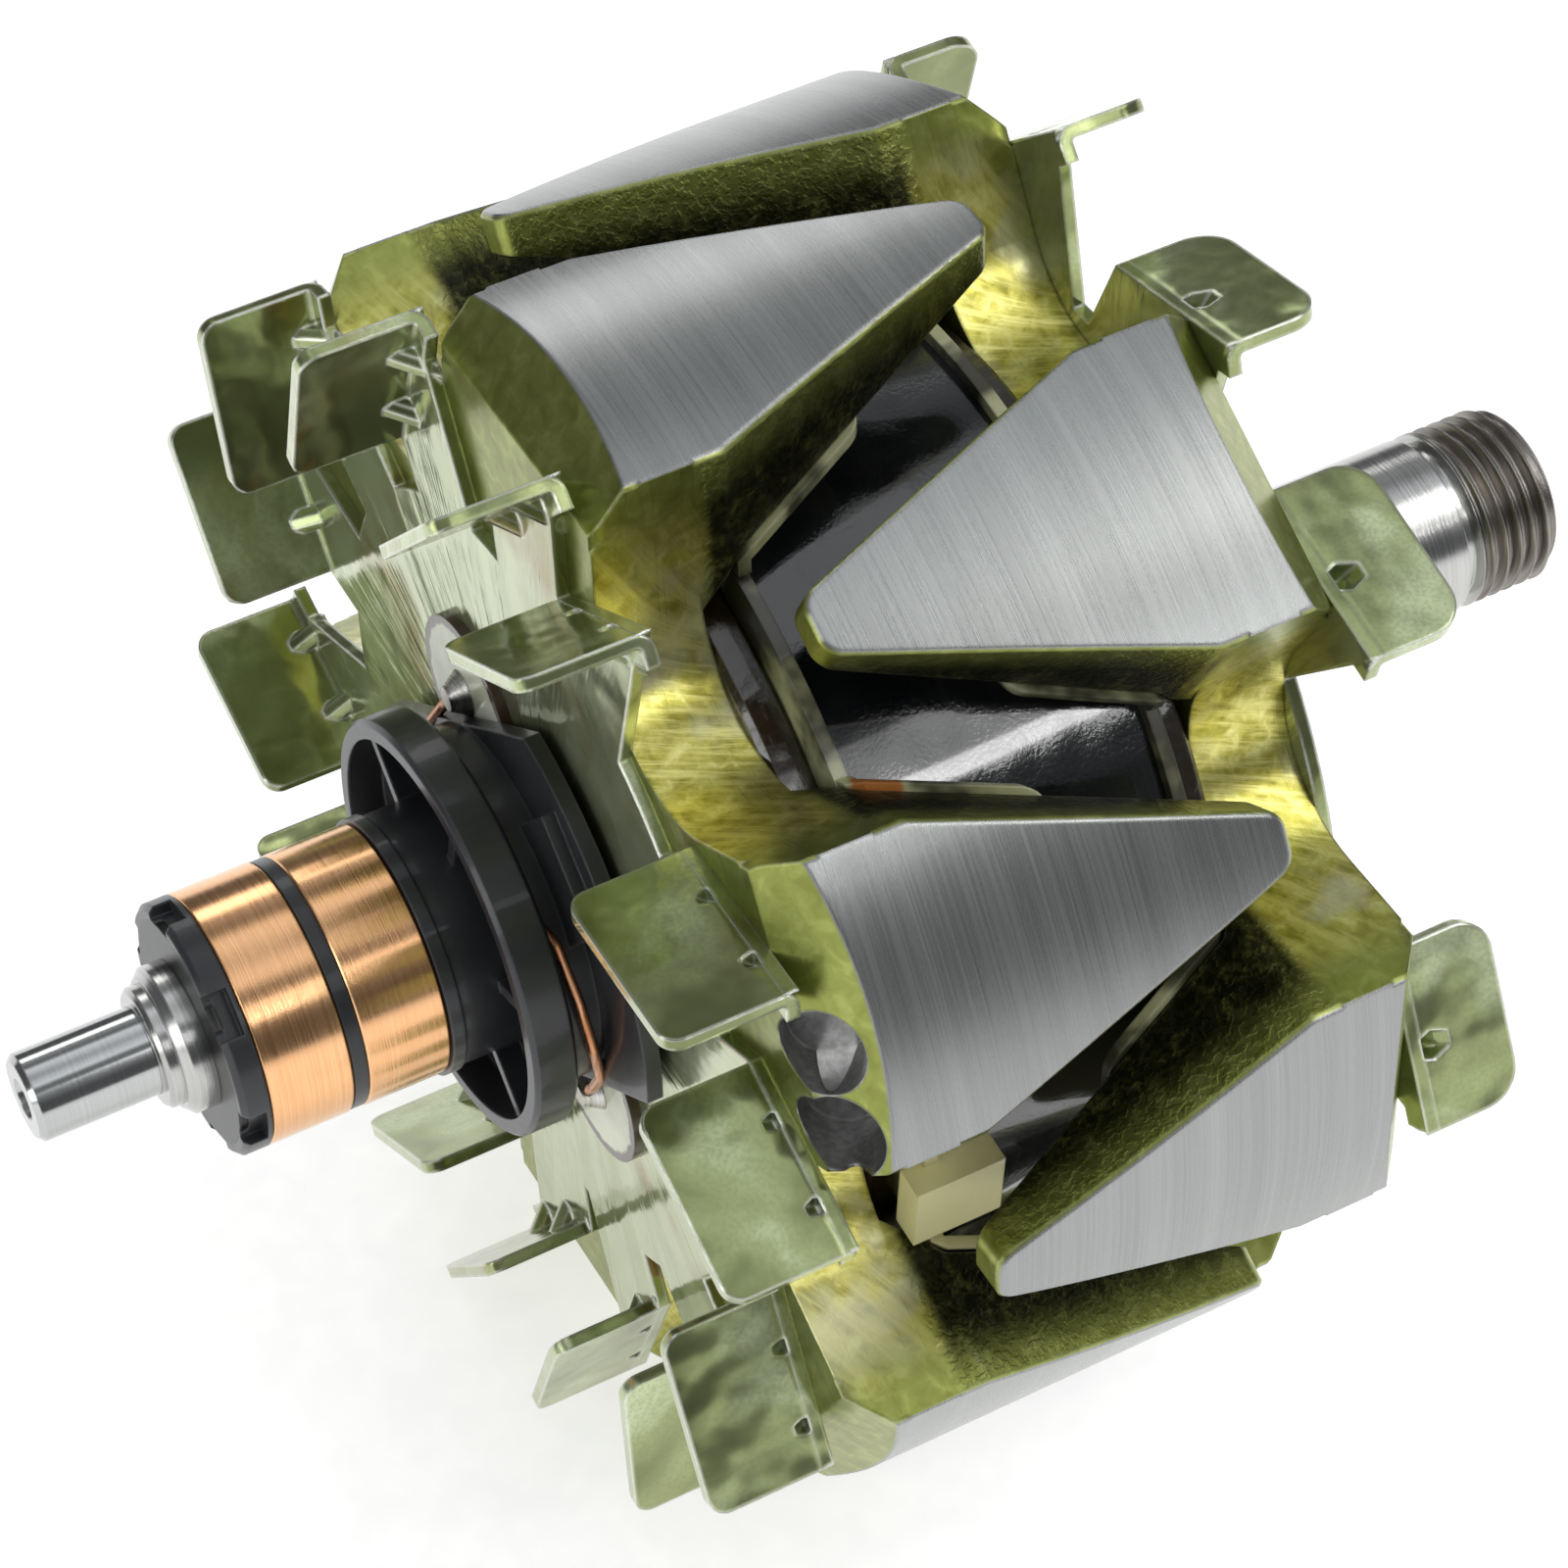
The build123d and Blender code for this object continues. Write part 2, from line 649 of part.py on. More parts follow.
# Lead carrier with two lobes, clamped between the hub and the rear fan
with BuildPart() as lead_carrier:
    with BuildSketch(Plane(origin=(plate_face, 0, 0), x_dir=(0, 1, 0), z_dir=(1, 0, 0))):
        Circle(hub_foot_radius)
        for angle in lobe_angles:
            with Locations((lobe_centre * cos(radians(angle)), lobe_centre * sin(radians(angle)))):
                Circle(lobe_radius)
        Circle(hub_seat_radius + 0.3, mode=Mode.SUBTRACT)
        for angle in lobe_angles:
            with Locations((solder_radius * cos(radians(angle)), solder_radius * sin(radians(angle)))):
                Circle(wire_diameter / 2, mode=Mode.SUBTRACT)
    extrude(amount=lead_carrier_thickness)
lead_carrier.part.label = "lead_carrier"
export_step(lead_carrier.part, "parts/lead_carrier.step")


# Winding and the varnished wrap over it
with BuildPart() as field_winding:
    with Locations(on_axis(pole_centre)):
        Cylinder(winding_radius, 2 * winding_half)
        Cylinder(core_radius + bobbin_wall, 2 * winding_half, mode=Mode.SUBTRACT)
    with Locations(on_axis(pole_centre - winding_half + coil_lead_depth / 2)):
        with PolarLocations(coil_lead_radius, 2, start_angle=lead_valley_angle):
            Cylinder(wire_diameter / 2, coil_lead_depth, mode=Mode.SUBTRACT)
field_winding.part.label = "field_winding"
export_step(field_winding.part, "parts/field_winding.step")

with BuildPart() as winding_wrap:
    with Locations(on_axis(pole_centre)):
        Cylinder(winding_radius + wrap_thickness, 2 * winding_half)
        Cylinder(winding_radius, 2 * winding_half, mode=Mode.SUBTRACT)
    with Locations(on_axis(pole_centre - winding_half + coil_lead_depth / 2)):
        with PolarLocations(coil_lead_radius, 2, start_angle=lead_valley_angle):
            Cylinder(wire_diameter / 2, coil_lead_depth, mode=Mode.SUBTRACT)
winding_wrap.part.label = "winding_wrap"
export_step(winding_wrap.part, "parts/winding_wrap.step")


# Coil leads: out through the flange, along a valley, in under the fan and up through the carrier
coil_leads = {}
for lead_name, (valley, lobe) in zip(("coil_start_lead", "coil_finish_lead"), lead_runs):
    with BuildPart() as coil_lead:
        with BuildLine() as route:
            Polyline(
                on_face(pole_centre - winding_half + coil_lead_depth, coil_lead_radius, valley),
                on_face(rear_face + wire_diameter / 2, coil_lead_radius, valley),
                on_face(rear_face + wire_diameter / 2, solder_radius, lobe),
                on_face(plate_face - lead_stub, solder_radius, lobe),
            )
        with BuildSketch(Plane(origin=route.line @ 0, z_dir=route.line % 0)):
            Circle(wire_diameter / 2)
        sweep(path=route.line, transition=Transition.ROUND)
    coil_lead.part.label = lead_name
    coil_leads[lead_name] = coil_lead
    export_step(coil_lead.part, f"parts/{lead_name}.step")


# Solder where each coil lead meets its ring lead
with BuildPart() as solder_joints:
    for angle in lobe_angles:
        joint_place = Location(on_face(plate_face, solder_radius, angle))
        with Locations(joint_place * Location((0, 0, 0), (0, -90, 0))):
            Cone(solder_size, solder_size / 2, solder_height, align=(Align.CENTER, Align.CENTER, Align.MIN))
    add(slip_ring_hub.part, mode=Mode.SUBTRACT)
    for lead in (*leads.values(), *coil_leads.values()):
        add(lead.part, mode=Mode.SUBTRACT)
solder_joints.part.label = "solder_joints"
export_step(solder_joints.part, "parts/solder_joints.step")
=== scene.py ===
import bpy
import bmesh
import math
from mathutils import Matrix, Vector


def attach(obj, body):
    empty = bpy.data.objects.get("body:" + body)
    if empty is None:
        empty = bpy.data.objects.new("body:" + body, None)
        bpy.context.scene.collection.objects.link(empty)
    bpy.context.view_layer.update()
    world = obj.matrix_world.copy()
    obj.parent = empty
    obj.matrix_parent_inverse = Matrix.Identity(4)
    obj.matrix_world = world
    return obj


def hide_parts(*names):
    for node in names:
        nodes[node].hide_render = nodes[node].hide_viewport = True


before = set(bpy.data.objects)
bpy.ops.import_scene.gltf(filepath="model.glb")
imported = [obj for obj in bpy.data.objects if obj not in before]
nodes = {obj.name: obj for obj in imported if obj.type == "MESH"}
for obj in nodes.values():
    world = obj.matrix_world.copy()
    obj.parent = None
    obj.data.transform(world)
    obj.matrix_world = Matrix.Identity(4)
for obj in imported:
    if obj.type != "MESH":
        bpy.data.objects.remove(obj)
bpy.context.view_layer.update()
scene = bpy.context.scene
scene.view_settings.view_transform = "Standard"
mm = 0.001
acrossAxis = (0, 1, 1)  # keeps what lies across the rotor's axis, which is X
print("frame loaded:", len(nodes), "nodes")


# Camera, solved from the claw corners and the shaft steps

cameraSettings = {
    "place": (-0.1730, -0.2709, 0.3157),
    "right": (0.8783, -0.4773, -0.0268),
    "up": (0.3603, 0.6240, 0.6934),
    "lens": 113.47,
    "sensor": 36.0,
    "nearest": 0.01,
    "farthest": 20.0,
}


def makeCamera(s):
    data = bpy.data.cameras.new("camera")
    data.lens = s["lens"]
    data.sensor_width = s["sensor"]
    data.clip_start = s["nearest"]
    data.clip_end = s["farthest"]
    camera = bpy.data.objects.new("camera", data)
    scene.collection.objects.link(camera)
    right = Vector(s["right"]).normalized()
    up = Vector(s["up"])
    up = (up - right * up.dot(right)).normalized()
    back = right.cross(up)
    turn = Matrix((right, up, back)).transposed()
    camera.matrix_world = Matrix.Translation(s["place"]) @ turn.to_4x4()
    scene.camera = camera


makeCamera(cameraSettings)
print("camera placed")


# Small helpers for node trees

floatSocket = "NodeSocketFloat"
colorSocket = "NodeSocketColor"
vectorSocket = "NodeSocketVector"
mixSockets = {"RGBA": (6, 7, 2), "FLOAT": (2, 3, 0)}  # first input, second input and output of a Mix node


def addNode(tree, kind, **values):
    node = tree.nodes.new(kind)
    for name, value in values.items():
        setattr(node, name, value)
    return node


def link(tree, source, target):
    tree.links.new(source, target)


def feed(tree, target, value):
    # A socket is linked, and a plain value is set
    if isinstance(value, bpy.types.NodeSocket):
        tree.links.new(value, target)
    else:
        target.default_value = value


def mathNode(tree, operation, a, b=0.0, clamp=False):
    node = addNode(tree, "ShaderNodeMath", operation=operation, use_clamp=clamp)
    feed(tree, node.inputs[0], a)
    feed(tree, node.inputs[1], b)
    return node.outputs[0]


def times(tree, a, b):
    return mathNode(tree, "MULTIPLY", a, b)


def plus(tree, a, b):
    return mathNode(tree, "ADD", a, b)


def minus(tree, a, b):
    return mathNode(tree, "SUBTRACT", a, b)


def rest(tree, share):
    # What a mask leaves over
    return mathNode(tree, "SUBTRACT", 1.0, share)


def vectorNode(tree, operation, a, b=(0, 0, 0)):
    node = addNode(tree, "ShaderNodeVectorMath", operation=operation)
    feed(tree, node.inputs[0], a)
    feed(tree, node.inputs[1], b)
    return node.outputs["Value"] if operation in ("LENGTH", "DOT_PRODUCT") else node.outputs["Vector"]


def scaled(tree, vector, factors):
    return vectorNode(tree, "MULTIPLY", vector, factors)


def distance(tree, place, point):
    return vectorNode(tree, "LENGTH", vectorNode(tree, "SUBTRACT", place, point))


def outwards(tree, place):
    # The direction away from the rotor's axis
    return vectorNode(tree, "NORMALIZE", scaled(tree, place, acrossAxis))


def split(tree, vector):
    # X, Y and Z of a vector
    node = addNode(tree, "ShaderNodeSeparateXYZ")
    link(tree, vector, node.inputs[0])
    return node.outputs


def ramp(tree, value, low, high):
    node = addNode(tree, "ShaderNodeMapRange", interpolation_type="SMOOTHSTEP")
    feed(tree, node.inputs["Value"], value)
    feed(tree, node.inputs["From Min"], low)
    feed(tree, node.inputs["From Max"], high)
    return node.outputs["Result"]


def mixNode(tree, kind, share, a, b, **values):
    first, second, result = mixSockets[kind]
    node = addNode(tree, "ShaderNodeMix", data_type=kind, **values)
    feed(tree, node.inputs[0], share)
    feed(tree, node.inputs[first], a)
    feed(tree, node.inputs[second], b)
    return node.outputs[result]


def mixColor(tree, share, a, b, blend="MIX"):
    return mixNode(tree, "RGBA", share, a, b, blend_type=blend)


def mixValue(tree, share, a, b):
    return mixNode(tree, "FLOAT", share, a, b)


def noise(tree, place, scale, detail=3.0, rough=0.55):
    node = addNode(tree, "ShaderNodeTexNoise")
    feed(tree, node.inputs["Vector"], place)
    feed(tree, node.inputs["Scale"], scale)
    node.inputs["Detail"].default_value = detail
    node.inputs["Roughness"].default_value = rough
    return node.outputs["Fac"]


def cloudMask(tree, place, numbers):
    # Noise cut to a mask: its scale and detail, and where the mask begins and is full
    scale, detail, low, high = numbers
    return ramp(tree, noise(tree, place, scale, detail), low, high)


def newGroup(name, inputs, outputs):
    group = bpy.data.node_groups.new(name, "ShaderNodeTree")
    for label, kind, value in inputs:
        socket = group.interface.new_socket(label, in_out="INPUT", socket_type=kind)
        socket.default_value = value
    for label, kind in outputs:
        group.interface.new_socket(label, in_out="OUTPUT", socket_type=kind)
    return group, group.nodes.new("NodeGroupInput"), group.nodes.new("NodeGroupOutput")


def useGroup(tree, group, values=None):
    node = addNode(tree, "ShaderNodeGroup", node_tree=group)
    for label, value in (values or {}).items():
        feed(tree, node.inputs[label], value)
    return node


# Effects that several finishes share

axisSettings = {
    "around": (120.0, 1.0, 1.0),  # squeezed along X, so that noise runs round the axis
    "slant": -11.0,  # radians for each metre along X
    "turn": (0, 2.6, 2.6),
    "along": (5.0, 0, 0),
}


def makeAxisGroup(s):
    # Radius from the axis, and places whose noise runs round it or along the slanted lines of the forging
    places = [(label, vectorSocket) for label in ("Place", "Around", "Along")]
    group, _, target = newGroup("axisSpace", [], [("Radius", floatSocket)] + places)
    place = addNode(group, "ShaderNodeTexCoord").outputs["Object"]
    radius = vectorNode(group, "LENGTH", scaled(group, place, acrossAxis))
    twist = addNode(group, "ShaderNodeVectorRotate", rotation_type="X_AXIS")
    link(group, place, twist.inputs["Vector"])
    link(group, times(group, split(group, place)["X"], s["slant"]), twist.inputs["Angle"])
    turned = scaled(group, outwards(group, twist.outputs[0]), s["turn"])
    along = vectorNode(group, "ADD", turned, scaled(group, place, s["along"]))
    link(group, radius, target.inputs["Radius"])
    link(group, place, target.inputs["Place"])
    link(group, scaled(group, place, s["around"]), target.inputs["Around"])
    link(group, along, target.inputs["Along"])
    return group


brushSettings = {
    "detail": 5.0,
    "roughness": 0.7,
    "spread": (0.3, 0.7),
}


def makeBrushGroup(s):
    # Fine lines that run one way, as grinding and turning leave them
    inputs = [("Vector", vectorSocket, (0, 0, 0)), ("Scale", floatSocket, 60.0)]
    group, source, target = newGroup("brushedLines", inputs, [("Share", floatSocket)])
    fine = noise(group, source.outputs["Vector"], source.outputs["Scale"], s["detail"], s["roughness"])
    link(group, ramp(group, fine, *s["spread"]), target.inputs["Share"])
    return group


chromateSettings = {
    "detail": 4.0,
    "roughness": 0.5,
    "distortion": 0.6,
    "middleFrom": (0.32, 0.52),
    "brightFrom": (0.5, 0.68),
    "grit": (2.0, 0.42, 0.62),
}


def makeChromateGroup(s):
    # Zinc chromate: patches of three tints, and fine grit in the darkest one
    inputs = [
        ("Deep", colorSocket, (0.1, 0.12, 0.03, 1)),
        ("Middle", colorSocket, (0.3, 0.3, 0.1, 1)),
        ("Bright", colorSocket, (0.6, 0.6, 0.3, 1)),
        ("Patch Scale", floatSocket, 60.0),
        ("Grit Scale", floatSocket, 1500.0),
        ("Grit", floatSocket, 0.5),
    ]
    outputs = [("Color", colorSocket), ("Mask", floatSocket), ("Height", floatSocket)]
    group, source, target = newGroup("chromate", inputs, outputs)
    place = addNode(group, "ShaderNodeTexCoord").outputs["Object"]
    patch = noise(group, place, source.outputs["Patch Scale"], s["detail"], s["roughness"])
    patch.node.inputs["Distortion"].default_value = s["distortion"]
    middle = ramp(group, patch, *s["middleFrom"])
    bright = ramp(group, patch, *s["brightFrom"])
    color = mixColor(group, middle, source.outputs["Deep"], source.outputs["Middle"])
    color = mixColor(group, bright, color, source.outputs["Bright"])
    detail, low, high = s["grit"]
    specks = noise(group, place, source.outputs["Grit Scale"], detail, s["roughness"])
    grit = ramp(group, specks, low, high)
    color = mixColor(group, times(group, grit, source.outputs["Grit"]), color, source.outputs["Deep"])
    link(group, color, target.inputs["Color"])
    link(group, bright, target.inputs["Mask"])
    link(group, grit, target.inputs["Height"])
    return group


edgeSettings = {
    "samples": 4,
    "flat": 0.99,
    "sharp": 0.86,
}


def makeEdgeGroup(s):
    # Rounded normals at sharp edges, and a mask that is 1 on the edge
    inputs = [("Radius", floatSocket, 0.4 * mm)]
    group, source, target = newGroup("roundedEdge", inputs, [("Mask", floatSocket), ("Normal", vectorSocket)])
    rounded = addNode(group, "ShaderNodeBevel", samples=s["samples"])
    link(group, source.outputs["Radius"], rounded.inputs["Radius"])
    plain = addNode(group, "ShaderNodeNewGeometry").outputs["Normal"]
    likeness = vectorNode(group, "DOT_PRODUCT", rounded.outputs["Normal"], plain)
    link(group, ramp(group, likeness, s["flat"], s["sharp"]), target.inputs["Mask"])
    link(group, rounded.outputs["Normal"], target.inputs["Normal"])
    return group


axisGroup = makeAxisGroup(axisSettings)
brushGroup = makeBrushGroup(brushSettings)
chromateGroup = makeChromateGroup(chromateSettings)
edgeGroup = makeEdgeGroup(edgeSettings)


def newMaterial(name):
    material = bpy.data.materials.new(name)
    material.use_nodes = True
    tree = material.node_tree
    return material, tree, tree.nodes["Principled BSDF"]


def setShader(shader, values):
    # What is the same all over a surface is set on the shader's own sockets
    for label, value in values.items():
        shader.inputs[label].default_value = value


def bumpNode(tree, height, depth, strength, normal):
    node = addNode(tree, "ShaderNodeBump")
    link(tree, height, node.inputs["Height"])
    link(tree, normal, node.inputs["Normal"])
    node.inputs["Distance"].default_value = depth
    node.inputs["Strength"].default_value = strength
    return node.outputs["Normal"]


# Claw poles: ground steel outside, chromate on the rest, bare bores in the balance holes

poleSettings = {
    "groundRadius": 57.35 * mm,
    "groundBlend": 0.1 * mm,
    "steel": (0.335, 0.345, 0.335, 1),
    "steelDark": (0.285, 0.295, 0.285, 1),
    "steelPale": (0.5, 0.51, 0.5, 1),
    "steelBands": (3.0, 3.0, 0.4, 0.75),
    "bandShare": 0.2,
    "lineScale": 44.0,
    "wall": {
        "Deep": (0.010, 0.010, 0.003, 1),
        "Middle": (0.034, 0.035, 0.010, 1),
        "Bright": (0.12, 0.12, 0.035, 1),
        "Patch Scale": 520.0,
        "Grit Scale": 1700.0,
        "Grit": 0.75,
    },
    "valley": {
        "Deep": (0.32, 0.29, 0.04, 1),
        "Middle": (0.56, 0.51, 0.10, 1),
        "Bright": (0.82, 0.78, 0.28, 1),
        "Patch Scale": 520.0,
        "Grit Scale": 1700.0,
        "Grit": 0.25,
    },
    "shoulder": {
        "Deep": (0.23, 0.25, 0.055, 1),
        "Middle": (0.28, 0.31, 0.075, 1),
        "Bright": (0.36, 0.39, 0.11, 1),
        "Patch Scale": 520.0,
        "Grit Scale": 1700.0,
        "Grit": 0.1,
    },
    # Each pole's outer face, and which way the yoke lies from it
    "ends": {"rear": (-58.4 * mm, 1), "front": (-4.4 * mm, -1)},
    "outwardFace": (0.5, 0.8),
    "endFace": (0.5, 0.7),
    "yokeDepth": (10.9 * mm, 8.7 * mm),
    "yokeFace": (0.6, 0.4),
    "valleyRadius": (56.0 * mm, 47.0 * mm),
    "streakScale": 22.0,
    "streakDetail": 5.0,
    "streakRough": 0.7,
    "streakFrom": (0.42, 0.66),
    "streak": (0.84, 0.78, 0.26, 1),
    "streakHeight": 0.5,
    "wornPatches": (95.0, 3.0, 0.5, 0.66),
    "wornShare": 0.55,
    "worn": (0.66, 0.67, 0.52, 1),
    # Painted rim light: the dark side walls turn toward the lighter shoulder tint near the outer rim
    "rimFrom": 52.0 * mm,
    "paintedRimLightShare": 0.85,
    "edgeRadius": 0.45 * mm,
    "edgeChips": (700.0, 2.0, 0.35, 0.6),
    "edgeShare": 0.35,
    "edge": (0.78, 0.78, 0.62, 1),
    "wallRough": 0.42,
    "smoothRough": 0.27,
    "groundRough": 0.25,
    "lineRough": 0.06,
    "lineHeight": 0.07,
    "bumpDepth": 0.09 * mm,
    "bumpStrength": 0.55,
    "shader": {"Metallic": 0.88, "Coat Weight": 0.12, "Coat Roughness": 0.12},
}

holeSettings = {
    "angles": (152.9, 160.8),
    "tilt": 30.0,
    "radius": 3.72 * mm,
    "start": (-57.2 * mm, 53.43 * mm, 0),
    "rings": (1440.0, 3.0, 0.3, 0.7),
    "dark": (0.34, 0.34, 0.32, 1),
    "bright": (0.50, 0.50, 0.49, 1),
}


def holeMask(tree, place, s):
    # 1 inside the bored cylinders of the two balance holes
    total = None
    for degrees in s["angles"]:
        turn = Matrix.Rotation(math.radians(degrees), 3, "X")
        tilt = Matrix.Rotation(math.radians(s["tilt"]), 3, "Z")
        axis = turn @ (tilt @ Vector((0, 1, 0)))
        offset = vectorNode(tree, "SUBTRACT", place, tuple(turn @ Vector(s["start"])))
        across = vectorNode(tree, "LENGTH", vectorNode(tree, "CROSS_PRODUCT", offset, tuple(axis)))
        inside = mathNode(tree, "LESS_THAN", across, s["radius"])
        total = inside if total is None else mathNode(tree, "MAXIMUM", total, inside)
    return total


def poleFaces(tree, place, end, s):
    # Smooth faces look outward or along the axis, or lie on the yoke's rim, where no claw stands free
    normal = addNode(tree, "ShaderNodeNewGeometry").outputs["Normal"]
    outward = vectorNode(tree, "DOT_PRODUCT", normal, outwards(tree, place))
    alongX = mathNode(tree, "ABSOLUTE", vectorNode(tree, "DOT_PRODUCT", normal, (1, 0, 0)))
    endFace = ramp(tree, alongX, *s["endFace"])
    smooth = mathNode(tree, "MAXIMUM", ramp(tree, outward, *s["outwardFace"]), endFace)
    outerFace, side = s["ends"][end]
    depth = times(tree, minus(tree, split(tree, place)["X"], outerFace), side)
    yoke = times(tree, ramp(tree, depth, *s["yokeDepth"]), ramp(tree, alongX, *s["yokeFace"]))
    return mathNode(tree, "MAXIMUM", smooth, yoke), yoke


def makePoleMaterial(name, end, s, holes=None):
    material, tree, shader = newMaterial(name)
    axis = useGroup(tree, axisGroup).outputs
    radius, place = axis["Radius"], axis["Place"]
    ground = ramp(tree, radius, s["groundRadius"] - s["groundBlend"], s["groundRadius"] + s["groundBlend"])
    notGround = rest(tree, ground)
    lines = useGroup(tree, brushGroup, {"Vector": axis["Around"], "Scale": s["lineScale"]}).outputs["Share"]
    steel = mixColor(tree, lines, s["steelDark"], s["steel"])
    bands = cloudMask(tree, axis["Around"], s["steelBands"])
    steel = mixColor(tree, times(tree, bands, s["bandShare"]), steel, s["steelPale"])

    wall = useGroup(tree, chromateGroup, s["wall"]).outputs
    valley = useGroup(tree, chromateGroup, s["valley"]).outputs["Color"]
    shoulder = useGroup(tree, chromateGroup, s["shoulder"]).outputs["Color"]
    smooth, yoke = poleFaces(tree, place, end, s)
    streaks = noise(tree, axis["Along"], s["streakScale"], s["streakDetail"], s["streakRough"])
    valley = mixColor(tree, ramp(tree, streaks, *s["streakFrom"]), valley, s["streak"])
    worn = times(tree, cloudMask(tree, place, s["wornPatches"]), s["wornShare"])
    valley = mixColor(tree, worn, valley, s["worn"])
    inValley = times(tree, ramp(tree, radius, *s["valleyRadius"]), yoke)
    # Painted rim light: side walls are painted lighter towards the outer rim, where light falls on them
    paintedRimLight = times(tree, ramp(tree, radius, s["rimFrom"], s["groundRadius"]), s["paintedRimLightShare"])
    plated = mixColor(tree, paintedRimLight, wall["Color"], shoulder)
    plated = mixColor(tree, smooth, plated, shoulder)
    plated = mixColor(tree, inValley, plated, valley)

    edge = useGroup(tree, edgeGroup, {"Radius": s["edgeRadius"]}).outputs
    chips = times(tree, times(tree, edge["Mask"], notGround), cloudMask(tree, place, s["edgeChips"]))
    plated = mixColor(tree, times(tree, chips, s["edgeShare"]), plated, s["edge"])
    color = mixColor(tree, ground, plated, steel)
    rough = mixValue(tree, ground, mixValue(tree, smooth, s["wallRough"], s["smoothRough"]), s["groundRough"])
    rough = plus(tree, rough, times(tree, lines, s["lineRough"]))
    height = mixValue(tree, smooth, wall["Height"], times(tree, streaks, s["streakHeight"]))
    height = mixValue(tree, ground, height, times(tree, lines, s["lineHeight"]))
    if holes:
        bore = times(tree, holeMask(tree, place, holes), notGround)
        boreColor = mixColor(tree, cloudMask(tree, place, holes["rings"]), holes["dark"], holes["bright"])
        color = mixColor(tree, bore, color, boreColor)
        height = times(tree, height, rest(tree, bore))
    link(tree, color, shader.inputs["Base Color"])
    link(tree, rough, shader.inputs["Roughness"])
    setShader(shader, s["shader"])
    normal = bumpNode(tree, height, s["bumpDepth"], s["bumpStrength"], edge["Normal"])
    link(tree, normal, shader.inputs["Normal"])
    return material


# Fans: bright zinc sheet under a thin green-yellow chromate

fanSettings = {
    "plate": {
        "Deep": (0.19, 0.22, 0.085, 1),
        "Middle": (0.33, 0.38, 0.17, 1),
        "Bright": (0.56, 0.63, 0.38, 1),
        "Patch Scale": 75.0,
        "Grit Scale": 2600.0,
        "Grit": 0.22,
    },
    "discFace": (0.75, 0.95),
    "pale": (0.62, 0.68, 0.45, 1),
    "paleShare": {"rear": 0.7, "front": 0.55},
    "runStretch": (3.0, 3.0, 3.0),
    "runScale": 9.0,
    "runDetail": 4.0,
    "runRough": 0.6,
    "runFrom": (0.42, 0.6),
    "runShare": 0.4,
    "runHeight": 0.1,
    "stainPatches": (55.0, 3.0, 0.54, 0.7),
    "stainRadius": (50 * mm, 38 * mm),
    "stainShare": (0.4, 0.8),
    "bronze": (0.28, 0.18, 0.04, 1),
    "edgeRadius": 0.5 * mm,
    "edgeShare": 0.9,
    "edge": (0.96, 0.97, 0.92, 1),
    "rough": 0.13,
    "patchRough": 0.12,
    "rippleScale": 110.0,
    "rippleDetail": 2.0,
    "bumpDepth": 0.6 * mm,
    "bumpStrength": 0.6,
    "shader": {"Metallic": 0.78, "Coat Weight": 0.25, "Coat Roughness": 0.08},
}


def makeFanMaterial(name, end, s):
    material, tree, shader = newMaterial(name)
    axis = useGroup(tree, axisGroup).outputs
    place = axis["Place"]
    plate = useGroup(tree, chromateGroup, s["plate"]).outputs
    normal = addNode(tree, "ShaderNodeNewGeometry").outputs["Normal"]
    alongX = mathNode(tree, "ABSOLUTE", vectorNode(tree, "DOT_PRODUCT", normal, (1, 0, 0)))
    disc = ramp(tree, alongX, *s["discFace"])
    # Run marks of the plating bath spread outward from the hub
    runPlace = vectorNode(tree, "ADD", outwards(tree, place), scaled(tree, place, s["runStretch"]))
    runs = noise(tree, runPlace, s["runScale"], s["runDetail"], s["runRough"])
    runs = times(tree, ramp(tree, runs, *s["runFrom"]), disc)
    color = mixColor(tree, times(tree, disc, s["paleShare"][end]), plate["Color"], s["pale"])
    color = mixColor(tree, times(tree, runs, s["runShare"]), color, s["plate"]["Middle"])
    nearHub = mixValue(tree, ramp(tree, axis["Radius"], *s["stainRadius"]), *s["stainShare"])
    stain = times(tree, cloudMask(tree, place, s["stainPatches"]), nearHub)
    color = mixColor(tree, stain, color, s["bronze"])
    edge = useGroup(tree, edgeGroup, {"Radius": s["edgeRadius"]}).outputs
    color = mixColor(tree, times(tree, edge["Mask"], s["edgeShare"]), color, s["edge"])
    ripple = noise(tree, place, s["rippleScale"], s["rippleDetail"])
    height = plus(tree, ripple, times(tree, runs, s["runHeight"]))
    link(tree, color, shader.inputs["Base Color"])
    rough = plus(tree, s["rough"], times(tree, plate["Mask"], s["patchRough"]))
    link(tree, rough, shader.inputs["Roughness"])
    setShader(shader, s["shader"])
    normal = bumpNode(tree, height, s["bumpDepth"], s["bumpStrength"], edge["Normal"])
    link(tree, normal, shader.inputs["Normal"])
    return material


# Turned and ground metal: shaft, spacer, washer, core, slip rings, leads and solder

turnedSettings = {
    "lineScale": 30.0,
    "lineRough": 0.12,
    "lineHeight": 0.04 * mm,
    "grind": 0.5,
    "stainPatches": (120.0, 4.0, 0.45, 0.75),
    "stainShare": 0.35,
    "edgeRadius": 0.25 * mm,
    "edgeShare": 0.4,
}

steelSettings = {
    "dark": (0.44, 0.44, 0.42, 1),
    "bright": (0.56, 0.56, 0.54, 1),
    "stain": (0.34, 0.32, 0.28, 1),
    "stainShare": 0.2,
    "rough": 0.18,
    "lineHeight": 0.01 * mm,
    "grind": 0.35,
}

washerSettings = {
    "dark": (0.03, 0.03, 0.03, 1),
    "bright": (0.07, 0.07, 0.068, 1),
    "stain": (0.03, 0.03, 0.03, 1),
    "rough": 0.3,
    "lineHeight": 0.01 * mm,
}

